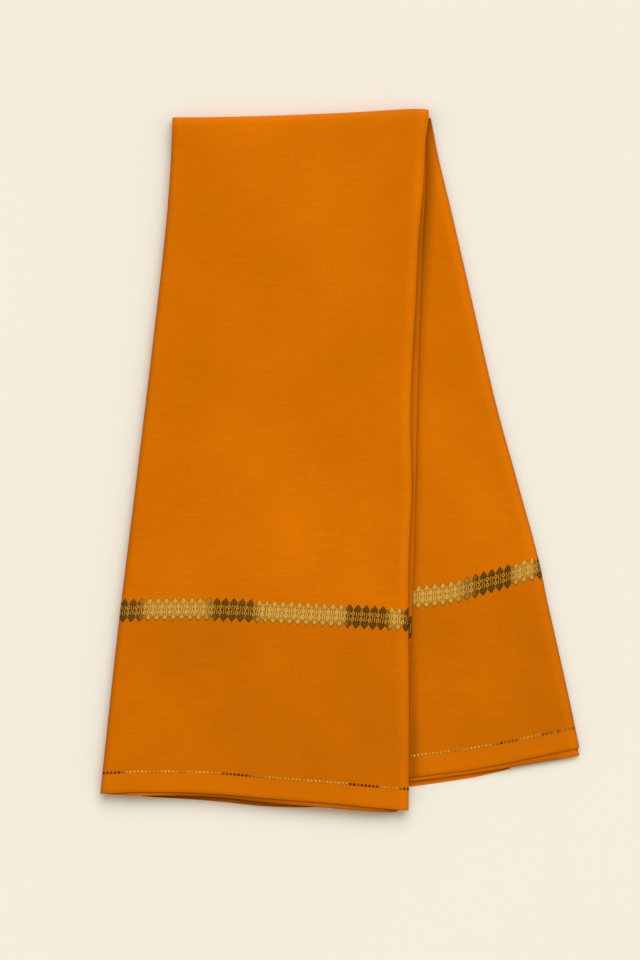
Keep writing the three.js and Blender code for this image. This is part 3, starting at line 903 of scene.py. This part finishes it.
class Graph:
    """A short way to add nodes to a tree and link them."""

    def __init__(self, tree):
        self.tree = tree

    def add(self, kind, inputs=None, **settings):
        made = self.tree.nodes.new(kind)
        for name, value in settings.items():
            setattr(made, name, value)
        self.feed(made, inputs or {})
        return made

    def feed(self, node, inputs):
        """Links or sets a node's inputs."""
        for name, value in inputs.items():
            if isinstance(value, bpy.types.NodeSocket):
                self.tree.links.new(value, node.inputs[name])
            else:
                node.inputs[name].default_value = value

    def math(self, operation, *values, clamped=False):
        inputs = dict(enumerate(values))
        return self.add("ShaderNodeMath", inputs, operation=operation, use_clamp=clamped).outputs[0]

    def times(self, first, second):
        return self.math("MULTIPLY", first, second)

    def plus(self, total, *others):
        for value in others:
            total = self.math("ADD", total, value)
        return total

    def colour_mix(self, factor, first, second, blend="MIX"):
        inputs = {0: factor, 6: first, 7: second}
        return self.add("ShaderNodeMix", inputs, data_type="RGBA", blend_type=blend).outputs[2]

    def scaled_colour(self, colour, factor):
        grey = self.add("ShaderNodeCombineColor", {0: factor, 1: factor, 2: factor}).outputs[0]
        return self.colour_mix(1.0, colour, grey, "MULTIPLY")

    def scaled(self, vector, scale):
        return self.add("ShaderNodeMapping", {"Vector": vector, "Scale": scale}).outputs[0]

    def noise(self, vector, detail=2.0, roughness=0.5):
        inputs = {"Vector": vector, "Scale": 1.0, "Detail": detail, "Roughness": roughness}
        return self.add("ShaderNodeTexNoise", inputs).outputs["Fac"]

    def rise(self, value, start, end):
        """0 at start, 1 at end, and even between."""
        return self.add("ShaderNodeMapRange", {0: value, 1: start, 2: end}).outputs[0]

    def around(self, value, amount):
        """A 0 to 1 value turned into one that swings by amount either side of nothing."""
        return self.times(self.math("SUBTRACT", value, 0.5), 2 * amount)


def node_group(name, build, *outputs):
    """A group of nodes with number outputs, which build(graph) gives in their order."""
    group = bpy.data.node_groups.new(name, "ShaderNodeTree")
    for socket in outputs:
        group.interface.new_socket(socket, in_out="OUTPUT", socket_type="NodeSocketFloat")
    graph = Graph(group)
    graph.add("NodeGroupOutput", dict(zip(outputs, build(graph))))
    return group


# Noise in the silk: its scale across and along the cloth, and how far it swings.
SILK_NOISE = table(
    "name across along detail roughness swing",
    ("slub", 34.0, 820.0, 3.0, 0.62, 0.5),
    ("fine_slub", 110.0, 1500.0, 2.0, 0.5, 0.3),
    ("upright", 900.0, 42.0, 2.0, 0.5, 0.22),
    ("patches", 8.0, 6.5, 2.5, 0.6, 0.2),
    ("crepe", 1900.0, 1900.0, 1.0, 0.5, 0.35),
)
SLUB_TONE = 0.28
BORDER_TONE = 0.1
SELVEDGE_TONE = 0.09
BORDER_BLEND = 0.006
SELVEDGE_BLEND = 0.002
SILK_ROUGHNESS = 0.56
THREAD_ROUGHNESS = 0.08
THREAD_RELIEF = 0.6


def crepe_weave(graph):
    """The weave of soft crepe silk: slubs across, fainter threads up, and slow uneven tone."""
    cloth = graph.add("ShaderNodeUVMap", uv_map="UVMap").outputs[0]
    noises = {}
    for name, across, along, detail, roughness, swing in zip(*SILK_NOISE.values()):
        stretched_cloth = graph.scaled(cloth, (across, along, 1.0))
        noises[name] = graph.around(graph.noise(stretched_cloth, detail, roughness), swing)
    threads = graph.plus(noises["slub"], noises["fine_slub"], noises["upright"])
    tone = graph.plus(graph.times(threads, SLUB_TONE), noises["patches"], 1.0)
    from_hem = graph.add("ShaderNodeSeparateXYZ", {0: cloth}).outputs[1]
    border = graph.rise(from_hem, BAND_FROM_HEM - BORDER_BLEND, BAND_FROM_HEM + BORDER_BLEND)
    selvedge = graph.rise(from_hem, DOTS_FROM_HEM, DOTS_FROM_HEM - SELVEDGE_BLEND)
    deeper = graph.times(graph.math("SUBTRACT", border, 1.0), BORDER_TONE)
    paler = graph.times(selvedge, SELVEDGE_TONE)
    tone = graph.times(tone, graph.plus(deeper, paler, 1.0))
    rough = graph.plus(graph.times(threads, THREAD_ROUGHNESS), SILK_ROUGHNESS)
    return tone, rough, graph.plus(graph.times(threads, THREAD_RELIEF), noises["crepe"])


def new_material(name):
    material = bpy.data.materials.new(name)
    material.use_nodes = True
    graph = Graph(material.node_tree)
    return material, graph, material.node_tree.nodes["Principled BSDF"]


def silk_material(name, weave, colour):
    """Mustard-orange crepe silk, a little deeper from the gold band down to the hem."""
    material, graph, shader = new_material(name)
    cloth = graph.add("ShaderNodeGroup", node_tree=weave).outputs
    shade = graph.add("ShaderNodeAttribute", attribute_name="shade").outputs["Fac"]
    relief = {"Height": cloth["Height"], "Distance": 0.00006, "Strength": 0.6}
    graph.feed(shader, {
        "Base Color": graph.scaled_colour(colour, graph.times(cloth["Tone"], shade)),
        "Roughness": cloth["Roughness"],
        "Normal": graph.add("ShaderNodeBump", relief).outputs[0],
        "Specular IOR Level": 0.13,
        "Specular Tint": (1.0, 0.36, 0.02, 1.0),
        "Sheen Weight": 0.08,
        "Sheen Roughness": 0.35,
        "Sheen Tint": (1.0, 0.42, 0.03, 1.0),
    })
    return material


def tone_ramp(graph, tones):
    """The tone of the gold at a place along X, from a table."""
    place = graph.add("ShaderNodeTexCoord").outputs["Object"]
    x = graph.add("ShaderNodeSeparateXYZ", {0: place}).outputs[0]
    low, high = tones["x"][0], tones["x"][-1]
    ramp = graph.add("ShaderNodeValToRGB", {0: graph.rise(x, low * MM, high * MM)})
    stops = ramp.color_ramp.elements
    while len(stops) > 1:
        stops.remove(stops[-1])
    for index, (at, tone) in enumerate(zip(tones["x"], tones["tone"])):
        position = (at - low) / (high - low)
        stop = stops[0] if index == 0 else stops.new(position)
        stop.position = position
        stop.color = (tone, tone, tone, 1.0)
    return ramp.outputs[0]


# The band's repeat: shares of a tooth's pitch across, and of the band's height up from its middle.
BAR = (0.085, 0.17)
LATTICE_TOP = 0.25
RULE = (0.25, 0.28)
RULE_LIGHT = 0.45
SWAY = (0.12, 0.05)
EYELET = {"half_width": 0.25, "middle": 0.115, "half_height": 0.12}
EYELET_LINE = (0.42, 1.0)
HEAD = {"half_width": 0.44, "middle": 0.33, "half_height": 0.18}
HEAD_CORE = 0.62


def band_motif(graph):
    """The band's repeat, one tooth wide: bars, pairs of lozenges, and outlined teeth."""
    strip = graph.add("ShaderNodeUVMap", uv_map="UVMap").outputs[0]
    waver = graph.noise(graph.scaled(strip, (1.3, 5.0, 1.0)), 2.0, 0.6)
    sway = {axis: graph.around(waver, swing) for axis, swing in enumerate(SWAY)}
    sway = graph.add("ShaderNodeCombineXYZ", sway).outputs[0]
    uneven = graph.add("ShaderNodeVectorMath", {0: strip, 1: sway}, operation="ADD")
    parts = graph.add("ShaderNodeSeparateXYZ", {0: uneven.outputs[0]}).outputs
    phase = graph.math("FRACT", graph.plus(parts[0], 0.5))
    from_tip = graph.math("ABSOLUTE", graph.math("SUBTRACT", phase, 0.5))
    from_middle = graph.math("ABSOLUTE", graph.math("SUBTRACT", parts[1], 0.5))
    inner = graph.math("LESS_THAN", from_middle, LATTICE_TOP)

    def within(value, low, high):
        over = graph.math("GREATER_THAN", value, low)
        return graph.times(over, graph.math("LESS_THAN", value, high))

    def lozenge(across, size):
        """0 in the middle of a lozenge and 1 on its outline."""
        away = graph.math("ABSOLUTE", graph.math("SUBTRACT", from_middle, size["middle"]))
        sideways = graph.math("DIVIDE", across, size["half_width"])
        return graph.plus(sideways, graph.math("DIVIDE", away, size["half_height"]))

    eyelet = within(lozenge(graph.math("SUBTRACT", 0.5, from_tip), EYELET), *EYELET_LINE)
    lattice = graph.math("MAXIMUM", within(from_tip, *BAR), eyelet)
    lattice = graph.times(lattice, inner)
    rule = graph.times(within(from_middle, *RULE), RULE_LIGHT)
    head = lozenge(from_tip, HEAD)
    core = graph.math("LESS_THAN", head, HEAD_CORE)
    outside_head = graph.math("GREATER_THAN", head, 1.0)
    figure = graph.times(graph.math("MAXIMUM", lattice, rule), outside_head)
    threads = graph.noise(graph.scaled(strip, (11.0, 38.0, 1.0)), 3.0, 0.75)
    return figure, core, threads


LIGHT_GOLD = {
    "ground": (0.40, 0.185, 0.016, 1.0),
    "figure": (0.74, 0.42, 0.085, 1.0),
    "core": (0.60, 0.335, 0.055, 1.0),
}
DARK_GOLD = {
    "ground": (0.058, 0.019, 0.0006, 1.0),
    "figure": (0.54, 0.22, 0.014, 1.0),
    "core": (0.082, 0.045, 0.004, 1.0),
}
DARK_DOT = (0.072, 0.015, 0.0008, 1.0)
LIGHT_DOT = (0.76, 0.39, 0.055, 1.0)
GOLD_TINT = (1.0, 0.62, 0.15, 1.0)
GLINT = 0.8
DOT_UNEVENNESS = 0.55


def band_material(motif):
    """Woven gold thread in two tones, with its repeat charted from the band's own pitch."""
    material, graph, shader = new_material("zari_band")
    chart = graph.add("ShaderNodeGroup", node_tree=motif).outputs

    def gold(palette):
        ground = graph.colour_mix(chart["Figure"], palette["ground"], palette["figure"])
        return graph.colour_mix(chart["Core"], ground, palette["core"])

    colour = graph.colour_mix(tone_ramp(graph, BAND_TONES), gold(DARK_GOLD), gold(LIGHT_GOLD))
    glint = graph.plus(graph.around(chart["Glint"], GLINT), 1.0)
    shade = graph.add("ShaderNodeAttribute", attribute_name="shade").outputs["Fac"]
    height = graph.plus(chart["Figure"], graph.times(chart["Glint"], GLINT))
    relief = {"Height": height, "Distance": 0.0001, "Strength": 0.5}
    graph.feed(shader, {
        "Base Color": graph.scaled_colour(colour, graph.times(glint, shade)),
        "Normal": graph.add("ShaderNodeBump", relief).outputs[0],
        "Metallic": 0.35,
        "Roughness": 0.42,
        "Specular Tint": GOLD_TINT,
    })
    return material


def dots_material():
    """Gold thread dots in the same two tones."""
    material, graph, shader = new_material("zari_dots")
    tone = tone_ramp(graph, DOT_TONES)
    place = graph.add("ShaderNodeTexCoord").outputs["Object"]
    thread = graph.noise(graph.scaled(place, (290.0, 290.0, 290.0)), 1.0)
    tone = graph.math("ADD", tone, graph.around(thread, DOT_UNEVENNESS), clamped=True)
    graph.feed(shader, {
        "Base Color": graph.colour_mix(tone, DARK_DOT, LIGHT_DOT),
        "Metallic": 0.25,
        "Roughness": 0.5,
        "Specular IOR Level": 0.1,
        "Specular Tint": GOLD_TINT,
    })
    return material


def floor_material():
    material, graph, shader = new_material("pale_ground")
    place = graph.add("ShaderNodeTexCoord").outputs["Object"]
    slow = graph.noise(graph.scaled(place, (2.0, 2.0, 2.0)), 1.0)
    colour = graph.colour_mix(slow, (0.855, 0.805, 0.685, 1.0), (0.875, 0.825, 0.705, 1.0))
    graph.feed(shader, {"Base Color": colour, "Roughness": 0.9, "Specular IOR Level": 0.1})
    return material


def dressed(piece, node):
    """Puts a piece in place of its node of the frame, by hiding that node."""
    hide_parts(node)


def build_saree():
    weave = node_group("crepe_weave", crepe_weave, "Tone", "Roughness", "Height")
    top_silk = silk_material("silk_top", weave, (0.615, 0.147, 0.0006, 1.0))
    # The turned and inner silks are the top silk made darker, a painted shade for the lower and
    # hidden plies.
    turned_silk_shaded = silk_material("silk_turned_shaded", weave, (0.57, 0.134, 0.0006, 1.0))
    inner_silk_shaded = silk_material("silk_inner", weave, (0.50, 0.113, 0.0006, 1.0))
    zari = band_material(node_group("band_motif", band_motif, "Figure", "Core", "Glint"))
    dots = dots_material()

    front = front_ply()
    bend_rows = [Row(1.0, turn) for turn in even(0.0, math.pi, BEND_STEPS)[1:]]
    under_rows = [Row(1.0, math.pi, run) for run in even(0.0, UNDER_RUN, UNDER_STEPS)[1:]]
    front_cloth = cloth_piece("front_cloth", front, FRONT_GRID, top_silk, bend_rows + under_rows)
    dressed(front_cloth, "front_leaf")

    turned = front_turned_ply()
    turned_cloth = cloth_piece("front_turned_cloth", turned, TURNED_GRID, turned_silk_shaded)
    dressed(turned_cloth, "front_turned_leaf")

    fan = fan_ply(FAN_TOP, "top", 0.0, (FAN_ROLL, TURNED_UNDER), fan_shade)
    fan_cloth = cloth_piece("fan_cloth", fan, FAN_GRID, top_silk)
    dressed(fan_cloth, "fan_leaf")

    fan_turned = fan_ply(FAN_TURNED_TOP, "second", INNER_RIGHT, None, fan_turned_shade)
    fan_turned_cloth = cloth_piece("fan_turned_cloth", fan_turned, FAN_TURNED_GRID, turned_silk_shaded)
    dressed(fan_turned_cloth, "fan_turned_leaf")

    back_cloth = cloth_piece("back_cloth", back_ply(), BACK_GRID, turned_silk_shaded, faces_down=True)
    dressed(back_cloth, "back_leaf")

    dressed(inner_layers_piece(inner_silk_shaded), "folded_inner_layers")

    front_flat = front.flat_at(FRONT_BAND["v"][1])
    start, end = gold_ends("front_band", 0.0, front_flat)
    half = front_flat / 2
    front_bands = [
        band_piece("front_band_left", front, FRONT_BAND, (start, half), zari),
        band_piece("front_band_right", front, FRONT_BAND, (half, end), zari),
    ]
    turned_flat = turned.flat_at(TURNED_BAND["v"][0])
    ends = gold_ends("turned_band", turned_flat, turned_flat)
    turned_band = band_piece("turned_band", turned, TURNED_BAND, ends, zari)
    ends = gold_ends("fan_band", FAN_TUCK, fan.flat_at(FAN_BAND["v"][3]))
    fan_band = band_piece("fan_band", fan, FAN_BAND, ends, zari)

    front_line = dots_piece("front_dots", front, FRONT_DOTS, 0.0, dots)
    fan_line = dots_piece("fan_dots", fan, FAN_DOTS, FAN_TUCK, dots)


# The ground's size, and how far it is below the cloth, in metres.
GROUND_SIZE = 8.0
GROUND_GAP = 0.0001


def build_ground():
    bpy.ops.mesh.primitive_plane_add(size=GROUND_SIZE, location=(0.0, 0.0, -GROUND_GAP))
    ground = bpy.context.object
    ground.name = "ground"
    ground.data.materials.append(floor_material())


def build_light():
    """An even, warm room, and one broad soft light from beyond the mid-width fold."""
    world = bpy.data.worlds.new("soft_room")
    bpy.context.scene.world = world
    world.use_nodes = True
    background = world.node_tree.nodes["Background"].inputs
    background["Color"].default_value = (1.0, 0.945, 0.82, 1.0)
    background["Strength"].default_value = 0.64
    light = bpy.data.lights.new("window", "SUN")
    light.energy = 2.0
    light.angle = math.radians(52)
    light.color = (0.83, 0.875, 0.996)
    lamp = bpy.data.objects.new("window", light)
    lamp.rotation_euler = Vector((-0.14, -0.74, -1.0)).to_track_quat("-Z", "Y").to_euler()
    bpy.context.scene.collection.objects.link(lamp)
    bpy.context.scene.view_settings.view_transform = "Standard"


# What the camera frames at the height of the front, and how far it is from there, in metres.
FRAME_HEIGHT = 800.0
FRAME_MIDDLE = (-16.7, -16.5)
CAMERA_DISTANCE = 9.0
CAMERA_REACH = 20.0


def build_camera():
    """Straight above the cloth, framed as the photo."""
    camera = bpy.data.cameras.new("camera")
    camera.lens = camera.sensor_width * CAMERA_DISTANCE / (FRAME_HEIGHT * MM)
    camera.clip_end = CAMERA_REACH
    holder = bpy.data.objects.new("camera", camera)
    x, y = FRAME_MIDDLE
    holder.location = (x * MM, y * MM, CAMERA_DISTANCE + FRONT_TOP * MM)
    bpy.context.scene.collection.objects.link(holder)
    bpy.context.scene.camera = holder


build_ground()
build_saree()
build_light()
build_camera()
